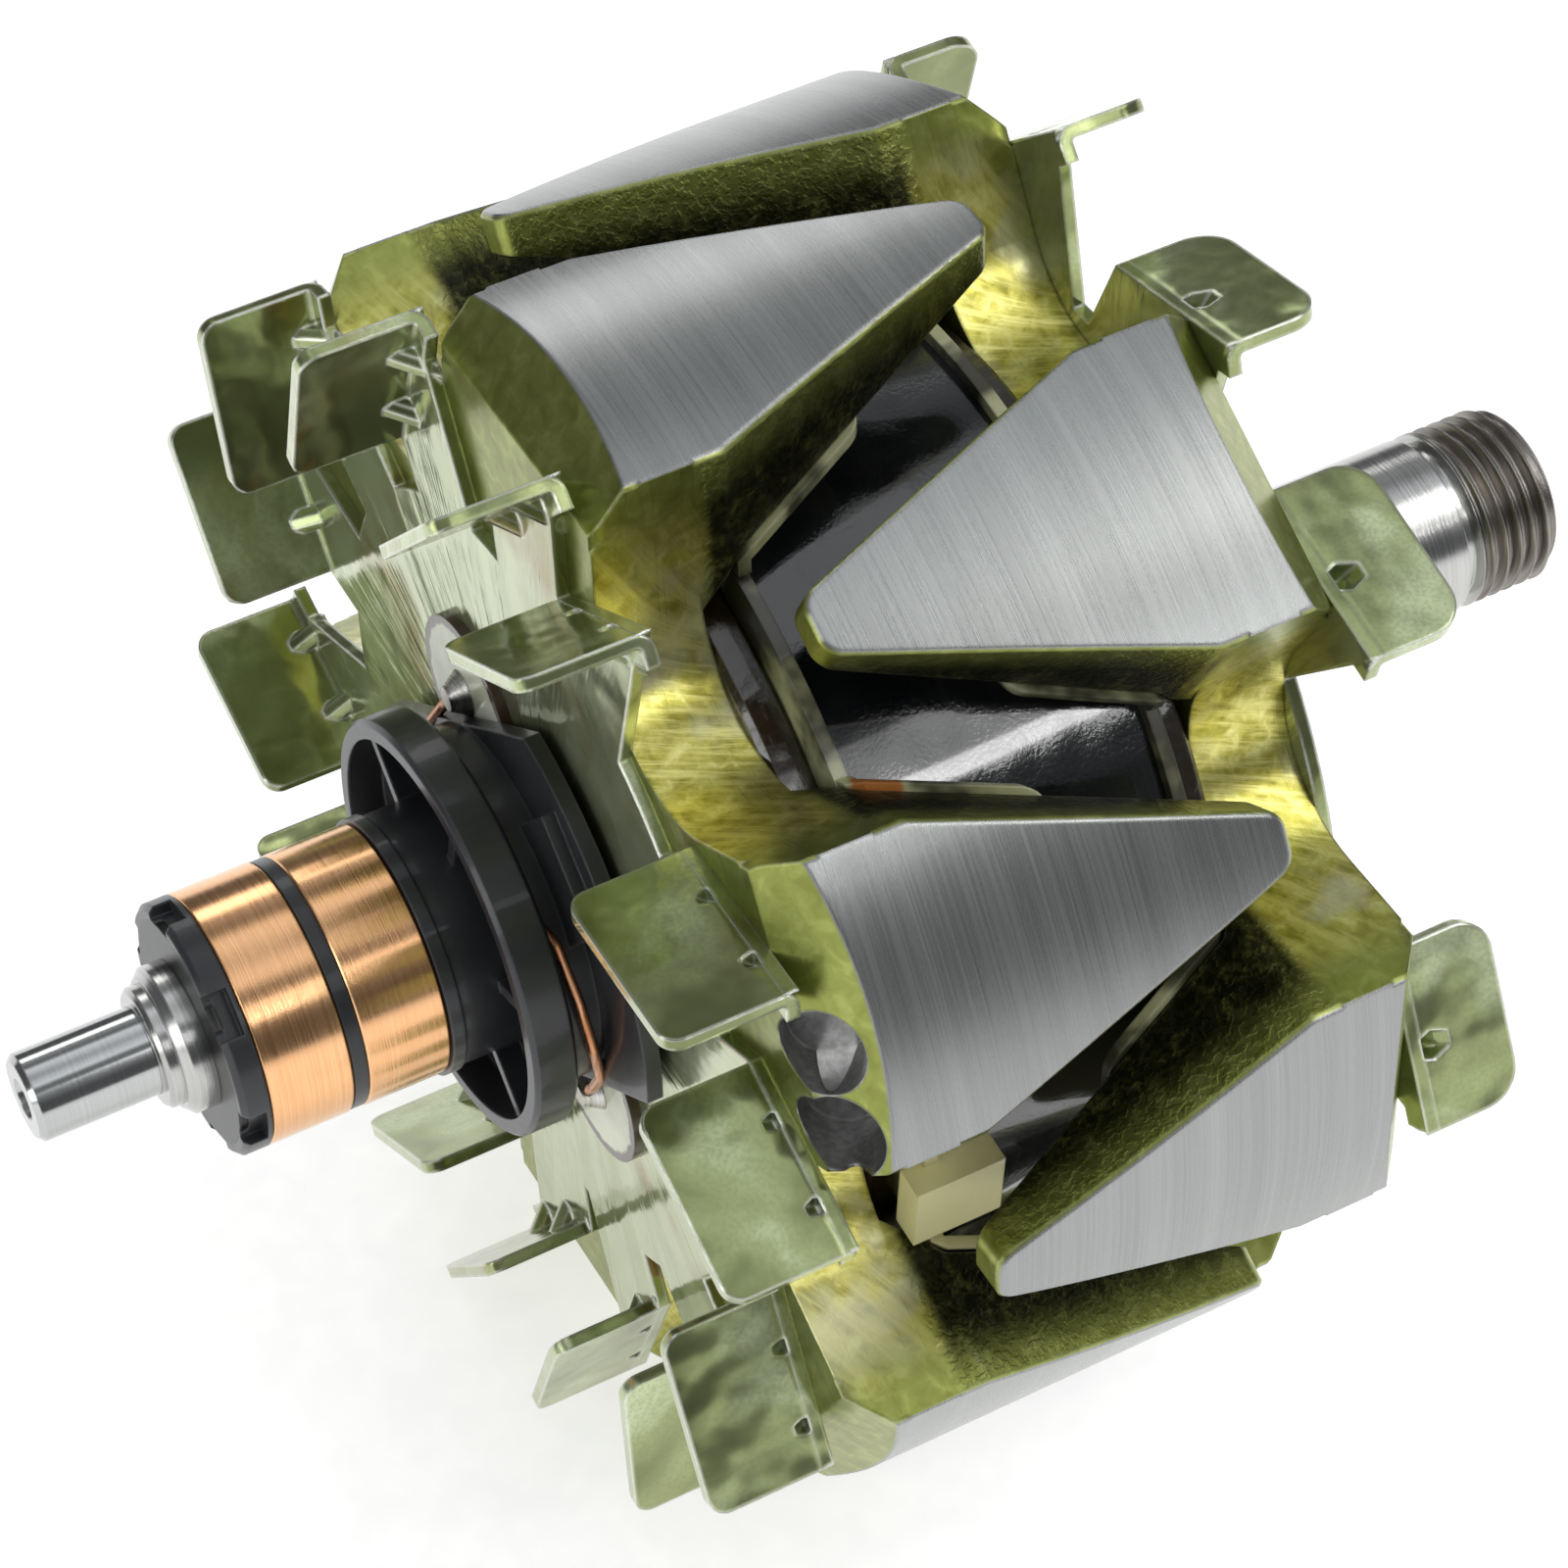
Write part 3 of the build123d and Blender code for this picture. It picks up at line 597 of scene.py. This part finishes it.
pinSettings = {
    "dark": (0.45, 0.46, 0.45, 1),
    "bright": (0.50, 0.51, 0.50, 1),
    "stain": (0.45, 0.46, 0.45, 1),
    "stainShare": 0.05,
    "rough": 0.1,
    "lineHeight": 0.002 * mm,
    "grind": 0.3,
}

threadSettings = {
    "dark": (0.13, 0.12, 0.11, 1),
    "bright": (0.40, 0.37, 0.34, 1),
    "stain": (0.12, 0.07, 0.04, 1),
    "rough": 0.28,
}

ringSettings = {
    "dark": (0.82, 0.43, 0.20, 1),
    "bright": (0.93, 0.55, 0.29, 1),
    "stain": (0.60, 0.30, 0.15, 1),
    "stainShare": 0.1,
    "rough": 0.13,
    "lineScale": 60.0,
    "lineHeight": 0.006 * mm,
    "grind": 0.6,
}

wireSettings = {
    "dark": (0.45, 0.16, 0.06, 1),
    "bright": (0.80, 0.42, 0.24, 1),
    "stain": (0.45, 0.16, 0.06, 1),
    "rough": 0.25,
    "lineHeight": 0.02 * mm,
}

solderSettings = {
    "dark": (0.42, 0.40, 0.36, 1),
    "bright": (0.72, 0.71, 0.68, 1),
    "stain": (0.25, 0.15, 0.08, 1),
    "rough": 0.24,
}


def makeTurnedMaterial(name, own):
    s = {**turnedSettings, **own}
    material, tree, shader = newMaterial(name)
    axis = useGroup(tree, axisGroup).outputs
    lines = useGroup(tree, brushGroup, {"Vector": axis["Around"], "Scale": s["lineScale"]}).outputs["Share"]
    color = mixColor(tree, lines, s["dark"], s["bright"])
    stain = times(tree, cloudMask(tree, axis["Place"], s["stainPatches"]), s["stainShare"])
    color = mixColor(tree, stain, color, s["stain"])
    edge = useGroup(tree, edgeGroup, {"Radius": s["edgeRadius"]}).outputs
    color = mixColor(tree, times(tree, edge["Mask"], s["edgeShare"]), color, s["bright"])
    rough = plus(tree, s["rough"], times(tree, lines, s["lineRough"] * s["grind"]))
    link(tree, color, shader.inputs["Base Color"])
    link(tree, rough, shader.inputs["Roughness"])
    setShader(shader, {"Metallic": 1.0})
    normal = bumpNode(tree, lines, s["lineHeight"], s["grind"], edge["Normal"])
    link(tree, normal, shader.inputs["Normal"])
    return material


# Moulded and varnished pieces

mouldedSettings = {
    "clouds": (90.0, 4.0, 0.3, 0.72),
    "grainScale": 2600.0,
    "grainDetail": 2.0,
    "grainRough": 0.12,
    "grainHeight": 0.03,
    "waveDetail": 2.0,
    "waveStrength": 0.6,
    "edgeRadius": 0.35 * mm,
    "coatRough": 0.06,
}

hubSettings = {
    "dark": (0.014, 0.015, 0.018, 1),
    "bright": (0.028, 0.029, 0.033, 1),
    "edge": (0.10, 0.10, 0.11, 1),
    "edgeShare": 0.5,
    "rough": 0.30,
    "coat": 0.2,
    "waveScale": 300.0,
    "waveDepth": 0.05 * mm,
}

wrapSettings = {
    "dark": (0.003, 0.004, 0.005, 1),
    "bright": (0.010, 0.012, 0.013, 1),
    "edge": (0.03, 0.03, 0.03, 1),
    "edgeShare": 0.3,
    "rough": 0.08,
    "coat": 1.0,
    "waveScale": 75.0,
    "waveDepth": 1.3 * mm,
}

insulationSettings = {
    "dark": (0.008, 0.007, 0.004, 1),
    "bright": (0.035, 0.022, 0.010, 1),
    "edge": (0.10, 0.09, 0.03, 1),
    "edgeShare": 0.4,
    "rough": 0.13,
    "coat": 0.8,
    "waveScale": 170.0,
    "waveDepth": 1.6 * mm,
}

bobbinSettings = {
    "dark": (0.36, 0.36, 0.17, 1),
    "bright": (0.62, 0.62, 0.38, 1),
    "edge": (0.72, 0.73, 0.52, 1),
    "edgeShare": 0.5,
    "rough": 0.32,
    "coat": 0.6,
    "waveScale": 160.0,
    "waveDepth": 0.3 * mm,
    "varnish": (0.018, 0.014, 0.006, 1),
    "varnishRuns": (110.0, 3.0, 0.40, 0.56),
    "varnishShare": 0.93,
    "blockAngle": 186.5,
    "blockFrom": (0.986, 0.992),
    "cream": (0.78, 0.72, 0.36, 1),
    "creamShare": 0.8,
    "amber": (0.42, 0.15, 0.03, 1),
    "amberPlace": (-43.2 * mm, -31.6 * mm, 33.3 * mm),
    "amberSize": (3.1 * mm, 2.3 * mm),
    "amberRagged": (900.0, 2.0),
    "raggedness": 1.2 * mm,
}

carrierSettings = {
    "dark": (0.40, 0.43, 0.27, 1),
    "bright": (0.74, 0.77, 0.56, 1),
    "edge": (0.03, 0.02, 0.01, 1),
    "edgeShare": 0.8,
    "rough": 0.3,
    "coat": 0.7,
    "waveScale": 180.0,
    "waveDepth": 0.5 * mm,
    "rim": (0.05, 0.022, 0.010, 1),
    "rimFrom": (7.7 * mm, 8.1 * mm),
    "rimRagged": (700.0, 3.0),
    "raggedness": 1.2 * mm,
    "lobeAngles": (235.0, 55.0),
    "lobeCentre": 17.6 * mm,
}


def varnishBobbin(tree, place, color, s):
    # Dark varnish runs over the petals but not on the side facing the block, which is made lighter and cream,
    # and one bead has dried amber
    angle = math.radians(s["blockAngle"])
    facing = vectorNode(tree, "DOT_PRODUCT", outwards(tree, place), (0, math.cos(angle), math.sin(angle)))
    towardBlock = ramp(tree, facing, *s["blockFrom"])
    runs = times(tree, cloudMask(tree, place, s["varnishRuns"]), s["varnishShare"])
    color = mixColor(tree, times(tree, runs, rest(tree, towardBlock)), color, s["varnish"])
    color = mixColor(tree, times(tree, towardBlock, s["creamShare"]), color, s["cream"])
    ragged = times(tree, noise(tree, place, *s["amberRagged"]), s["raggedness"])
    away = plus(tree, distance(tree, place, s["amberPlace"]), ragged)
    return mixColor(tree, ramp(tree, away, *s["amberSize"]), color, s["amber"])


def rimCarrier(tree, place, color, s):
    # Resin has crept in from the rim of each lobe and left a dark border
    flat = scaled(tree, place, acrossAxis)
    nearest = None
    for degrees in s["lobeAngles"]:
        angle = math.radians(degrees)
        centre = (0, s["lobeCentre"] * math.cos(angle), s["lobeCentre"] * math.sin(angle))
        away = distance(tree, flat, centre)
        nearest = away if nearest is None else mathNode(tree, "MINIMUM", nearest, away)
    ragged = times(tree, noise(tree, place, *s["rimRagged"]), s["raggedness"])
    return mixColor(tree, ramp(tree, plus(tree, nearest, ragged), *s["rimFrom"]), color, s["rim"])


def makeMouldedMaterial(name, own, finish=None):
    s = {**mouldedSettings, **own}
    material, tree, shader = newMaterial(name)
    place = useGroup(tree, axisGroup).outputs["Place"]
    color = mixColor(tree, cloudMask(tree, place, s["clouds"]), s["dark"], s["bright"])
    edge = useGroup(tree, edgeGroup, {"Radius": s["edgeRadius"]}).outputs
    color = mixColor(tree, times(tree, edge["Mask"], s["edgeShare"]), color, s["edge"])
    if finish:
        color = finish(tree, place, color, s)
    grain = noise(tree, place, s["grainScale"], s["grainDetail"])
    wave = noise(tree, place, s["waveScale"], s["waveDetail"])
    height = plus(tree, wave, times(tree, grain, s["grainHeight"]))
    link(tree, color, shader.inputs["Base Color"])
    link(tree, plus(tree, s["rough"], times(tree, grain, s["grainRough"])), shader.inputs["Roughness"])
    setShader(shader, {"Coat Weight": s["coat"], "Coat Roughness": s["coatRough"]})
    normal = bumpNode(tree, height, s["waveDepth"], s["waveStrength"], edge["Normal"])
    link(tree, normal, shader.inputs["Normal"])
    return material


turnedSteel = makeTurnedMaterial("turnedSteel", steelSettings)
groundPin = makeTurnedMaterial("groundPin", pinSettings)
threadSteel = makeTurnedMaterial("threadSteel", threadSettings)
ringCopper = makeTurnedMaterial("ringCopper", ringSettings)
wireCopper = makeTurnedMaterial("wireCopper", wireSettings)
insulation = makeMouldedMaterial("brownVarnish", insulationSettings)
nodeMaterials = {
    "rear_claw_pole": makePoleMaterial("rearPoleMetal", "rear", poleSettings, holeSettings),
    "front_claw_pole": makePoleMaterial("frontPoleMetal", "front", poleSettings),
    "rear_fan": makeFanMaterial("rearFanZinc", "rear", fanSettings),
    "front_fan": makeFanMaterial("frontFanZinc", "front", fanSettings),
    "pole_core": turnedSteel,
    "drive_end_spacer": turnedSteel,
    "hub_end_washer": makeTurnedMaterial("darkWasher", washerSettings),
    "shaft": turnedSteel,
    "outer_slip_ring": ringCopper,
    "inner_slip_ring": ringCopper,
    "field_winding": wireCopper,
    "outer_ring_lead": wireCopper,
    "inner_ring_lead": wireCopper,
    "coil_start_lead": wireCopper,
    "coil_finish_lead": wireCopper,
    "solder_joints": makeTurnedMaterial("tinSolder", solderSettings),
    "slip_ring_hub": makeMouldedMaterial("blackMoulding", hubSettings),
    "winding_wrap": makeMouldedMaterial("blackVarnish", wrapSettings),
    "rear_insulating_washer": insulation,
    "front_insulating_washer": insulation,
    "bobbin": makeMouldedMaterial("paleMoulding", bobbinSettings, varnishBobbin),
    "lead_carrier": makeMouldedMaterial("paleBoard", carrierSettings, rimCarrier),
}


def paintNodes():
    for name, material in nodeMaterials.items():
        for slot in nodes[name].material_slots:
            slot.material = material


paintNodes()
print("materials done")


# Shaft: the turned profile with a real thread cut on the drive end

shaftSettings = {
    "segments": 144,
    "majorRadius": 8.5 * mm,
    "threadStart": 33.4 * mm,
    "threadEnd": 42.0 * mm,
    "threadStep": 0.1 * mm,
    "pitch": 1.5 * mm,
    "depth": 0.92 * mm,
    "runout": 0.9 * mm,
    "crest": 0.12,
    "flank": 0.7,
    "chamfer": 1.1 * mm,
    "pinEnd": -97.1 * mm,
    "sharpAngle": 28,
    # Stations along the profile, each an X and a radius in millimetres
    "front": [
        (-3.2, 10.0), (-3.2, 9.0), (0.0, 9.0), (0.0, 8.5), (31.8, 8.5), (32.2, 7.5), (33.0, 7.5), (33.4, 8.5),
    ],
    "rear": [
        (-59.6, 10.0), (-59.6, 6.2), (-93.04, 6.2), (-93.04, 6.7), (-94.94, 6.7), (-95.74, 5.9),
        (-95.74, 5.5), (-96.64, 5.5), (-97.04, 5.1), (-97.04, 4.0), (-107.74, 4.0), (-108.24, 3.5),
        (-108.24, 1.9), (-106.04, 0.9), (-104.24, 0.9), (-103.64, 0.0),
    ],
    "nose": [(42.0, 4.2), (38.6, 2.0), (35.6, 2.0), (34.6, 0.0)],
}

def shaftStations(s):
    stations = [(x * mm, r * mm) for x, r in reversed(s["rear"])]
    stations += [(x * mm, r * mm) for x, r in s["front"]]
    step = s["threadStep"]
    crestEnd = s["threadEnd"] - s["chamfer"]
    for i in range(1, round((crestEnd - s["threadStart"]) / step) + 1):
        stations.append((s["threadStart"] + i * step, s["majorRadius"]))
    for i in range(1, round(s["chamfer"] / step) + 1):
        stations.append((crestEnd + i * step, s["majorRadius"] - i * step))
    stations += [(x * mm, r * mm) for x, r in s["nose"]]
    return stations


def latheMesh(name, stations, segments):
    # A ring of points at each station, or one point on the axis, joined by faces
    turns = [math.tau * k / segments for k in range(segments)]
    work = bmesh.new()
    rings = []
    for x, r in stations:
        places = [(x, r * math.cos(t), r * math.sin(t)) for t in turns] if r else [(x, 0, 0)]
        rings.append([work.verts.new(place) for place in places])
    for a, b in zip(rings[:-1], rings[1:]):
        for k in range(segments):
            n = (k + 1) % segments
            if len(a) == 1:
                work.faces.new((a[0], b[k], b[n]))
            elif len(b) == 1:
                work.faces.new((a[k], b[0], a[n]))
            else:
                work.faces.new((a[k], b[k], b[n], a[n]))
    bmesh.ops.recalc_face_normals(work, faces=work.faces)
    mesh = bpy.data.meshes.new(name)
    work.to_mesh(mesh)
    work.free()
    return mesh


def threadCut(tree, place, size):
    # How far each point sinks: a helical groove with flat crests, eased in over the runout
    x, y, z = split(tree, place)
    angle = mathNode(tree, "ARCTAN2", z, y)
    turns = minus(tree, mathNode(tree, "DIVIDE", x, size["Pitch"]), mathNode(tree, "DIVIDE", angle, math.tau))
    wave = mathNode(tree, "ABSOLUTE", minus(tree, times(tree, mathNode(tree, "FRACT", turns), 2.0), 1.0))
    groove = mathNode(tree, "DIVIDE", minus(tree, wave, size["Crest"]), size["Flank"], clamp=True)
    begin = mathNode(tree, "DIVIDE", minus(tree, x, size["Start"]), size["Runout"], clamp=True)
    cut = times(tree, times(tree, groove, begin), size["Depth"])
    radius = vectorNode(tree, "LENGTH", scaled(tree, place, acrossAxis))
    room = mathNode(tree, "MAXIMUM", minus(tree, radius, size["Root"]), 0.0)
    pastStart = mathNode(tree, "GREATER_THAN", x, size["Start"])
    beforeEnd = mathNode(tree, "LESS_THAN", x, size["End"])
    return times(tree, mathNode(tree, "MINIMUM", cut, room), times(tree, pastStart, beforeEnd))


def threadSizes(s):
    # What the thread's tree is given, with its end a little past the shaft's
    return {
        "Pitch": s["pitch"],
        "Depth": s["depth"],
        "Crest": s["crest"],
        "Flank": s["flank"],
        "Start": s["threadStart"],
        "End": s["threadEnd"] + mm,
        "Runout": s["runout"],
        "Root": s["majorRadius"] - s["depth"],
    }


def makeThreadTree(labels, material):
    tree = bpy.data.node_groups.new("cutThread", "GeometryNodeTree")
    tree.interface.new_socket("Geometry", in_out="INPUT", socket_type="NodeSocketGeometry")
    ids = {}
    for label in labels:
        ids[label] = tree.interface.new_socket(label, in_out="INPUT", socket_type=floatSocket).identifier
    tree.interface.new_socket("Geometry", in_out="OUTPUT", socket_type="NodeSocketGeometry")
    source = tree.nodes.new("NodeGroupInput")
    target = tree.nodes.new("NodeGroupOutput")
    place = tree.nodes.new("GeometryNodeInputPosition").outputs[0]
    cut = threadCut(tree, place, source.outputs)
    offset = addNode(tree, "ShaderNodeVectorMath", operation="SCALE")
    link(tree, outwards(tree, place), offset.inputs[0])
    link(tree, times(tree, cut, -1.0), offset.inputs["Scale"])
    move = tree.nodes.new("GeometryNodeSetPosition")
    link(tree, source.outputs["Geometry"], move.inputs["Geometry"])
    link(tree, offset.outputs[0], move.inputs["Offset"])
    real = tree.nodes.new("GeometryNodeRealizeInstances")
    link(tree, move.outputs[0], real.inputs[0])
    paint = tree.nodes.new("GeometryNodeSetMaterial")
    paint.inputs["Material"].default_value = material
    link(tree, real.outputs[0], paint.inputs["Geometry"])
    link(tree, paint.outputs[0], target.inputs[0])
    return tree, ids


def makeShaft(s):
    base = bpy.data.objects.new("shaftBase", latheMesh("shaftBase", shaftStations(s), s["segments"]))
    scene.collection.objects.link(base)
    sizes = threadSizes(s)
    tree, ids = makeThreadTree(sizes, turnedSteel)
    modifier = base.modifiers.new("thread", "NODES")
    modifier.node_group = tree
    for label, value in sizes.items():
        modifier[ids[label]] = value
    bpy.context.view_layer.update()
    graph = bpy.context.evaluated_depsgraph_get()
    mesh = bpy.data.meshes.new_from_object(base.evaluated_get(graph))
    mesh.name = "threadedShaft"
    bpy.data.objects.remove(base)
    piece = bpy.data.objects.new("threadedShaft", mesh)
    scene.collection.objects.link(piece)
    mesh.materials.clear()
    for material in (turnedSteel, threadSteel, groundPin):
        mesh.materials.append(material)
    for face in mesh.polygons:
        x = face.center.x
        face.material_index = 1 if x > s["threadStart"] else 2 if x < s["pinEnd"] else 0
        face.use_smooth = True
    mesh.set_sharp_from_angle(angle=math.radians(s["sharpAngle"]))
    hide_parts("shaft")
    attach(piece, "root")
    print("shaft done:", len(mesh.polygons), "faces")


makeShaft(shaftSettings)


# Floor, light and surroundings

floorSettings = {
    "height": -58.2 * mm,
    "half": 2.0,
    "paper": (0.80, 0.80, 0.80, 1),
    "fibre": (0.9, 0.9, 0.89, 1),
    "fibres": (300.0, 3.0, 0.3, 0.7),
    "shader": {"Roughness": 0.7, "Emission Color": (1, 1, 1, 1), "Emission Strength": 0.62},
}

# Each light: name, place, what it points at, width and height, watts and colour
lightSettings = [
    ("keyLight", (0.40, -0.22, 0.50), (-0.02, -0.02, 0.04), (0.30, 0.32), 1.25, (1.0, 0.99, 0.97)),
    ("frontLight", (0.18, -0.50, 0.48), (-0.05, -0.02, 0.02), (0.28, 0.20), 0.34, (1.0, 1.0, 1.0)),
    ("windowLight", (0.20, -0.53, 0.43), (-0.03, -0.03, 0.03), (0.12, 0.05), 0.20, (1.0, 1.0, 1.0)),
    ("sideLight", (-0.80, -0.10, 0.25), (-0.04, 0, 0), (0.25, 0.50), 1.3, (0.97, 0.99, 1.0)),
    ("backLight", (0.15, 0.75, 0.50), (-0.02, 0, 0), (0.55, 0.22), 0.85, (1.0, 1.0, 1.0)),
]

worldSettings = {
    "tint": (0.92, 0.95, 1.0, 1),
    # Brightness from straight down, 0, to straight up, 1
    "bands": [
        (0.0, 0.7), (0.48, 0.6), (0.51, 0.13), (0.68, 0.13), (0.80, 0.30), (0.865, 0.42),
        (0.905, 0.22), (0.93, 0.3), (0.955, 1.25), (0.985, 0.95), (1.0, 0.4),
    ],
}


def makeFloor(s):
    mesh = bpy.data.meshes.new("floor")
    half, z = s["half"], s["height"]
    corners = [(-half, -half, z), (half, -half, z), (half, half, z), (-half, half, z)]
    mesh.from_pydata(corners, [], [(0, 1, 2, 3)])
    floor = bpy.data.objects.new("floor", mesh)
    scene.collection.objects.link(floor)
    material, tree, shader = newMaterial("floorPaper")
    place = addNode(tree, "ShaderNodeTexCoord").outputs["Object"]
    tone = mixColor(tree, cloudMask(tree, place, s["fibres"]), s["paper"], s["fibre"])
    link(tree, tone, shader.inputs["Base Color"])
    setShader(shader, s["shader"])
    mesh.materials.append(material)


def makeLights(lights):
    for name, place, aim, size, watts, color in lights:
        data = bpy.data.lights.new(name, "AREA")
        data.shape = "RECTANGLE"
        data.size, data.size_y = size
        data.energy = watts
        data.color = color
        lamp = bpy.data.objects.new(name, data)
        lamp.location = place
        lamp.rotation_euler = (Vector(aim) - Vector(place)).to_track_quat("-Z", "Y").to_euler()
        scene.collection.objects.link(lamp)


def makeWorld(s):
    world = bpy.data.worlds.new("studio")
    world.use_nodes = True
    scene.world = world
    tree = world.node_tree
    direction = addNode(tree, "ShaderNodeTexCoord").outputs["Generated"]
    bands = addNode(tree, "ShaderNodeValToRGB")
    stops = bands.color_ramp.elements
    first, *middle, last = s["bands"]
    for stop, (_, level) in zip(stops, (first, last)):  # a new ramp has a stop at each end
        stop.color = (level, level, level, 1)
    for position, level in middle:
        stops.new(position).color = (level, level, level, 1)
    half = times(tree, split(tree, direction)["Z"], 0.5)
    link(tree, plus(tree, half, 0.5), bands.inputs["Fac"])
    background = tree.nodes["Background"]
    tone = mixColor(tree, 1.0, bands.outputs["Color"], s["tint"], "MULTIPLY")
    link(tree, tone, background.inputs["Color"])


makeFloor(floorSettings)
makeLights(lightSettings)
makeWorld(worldSettings)
print("stage done")
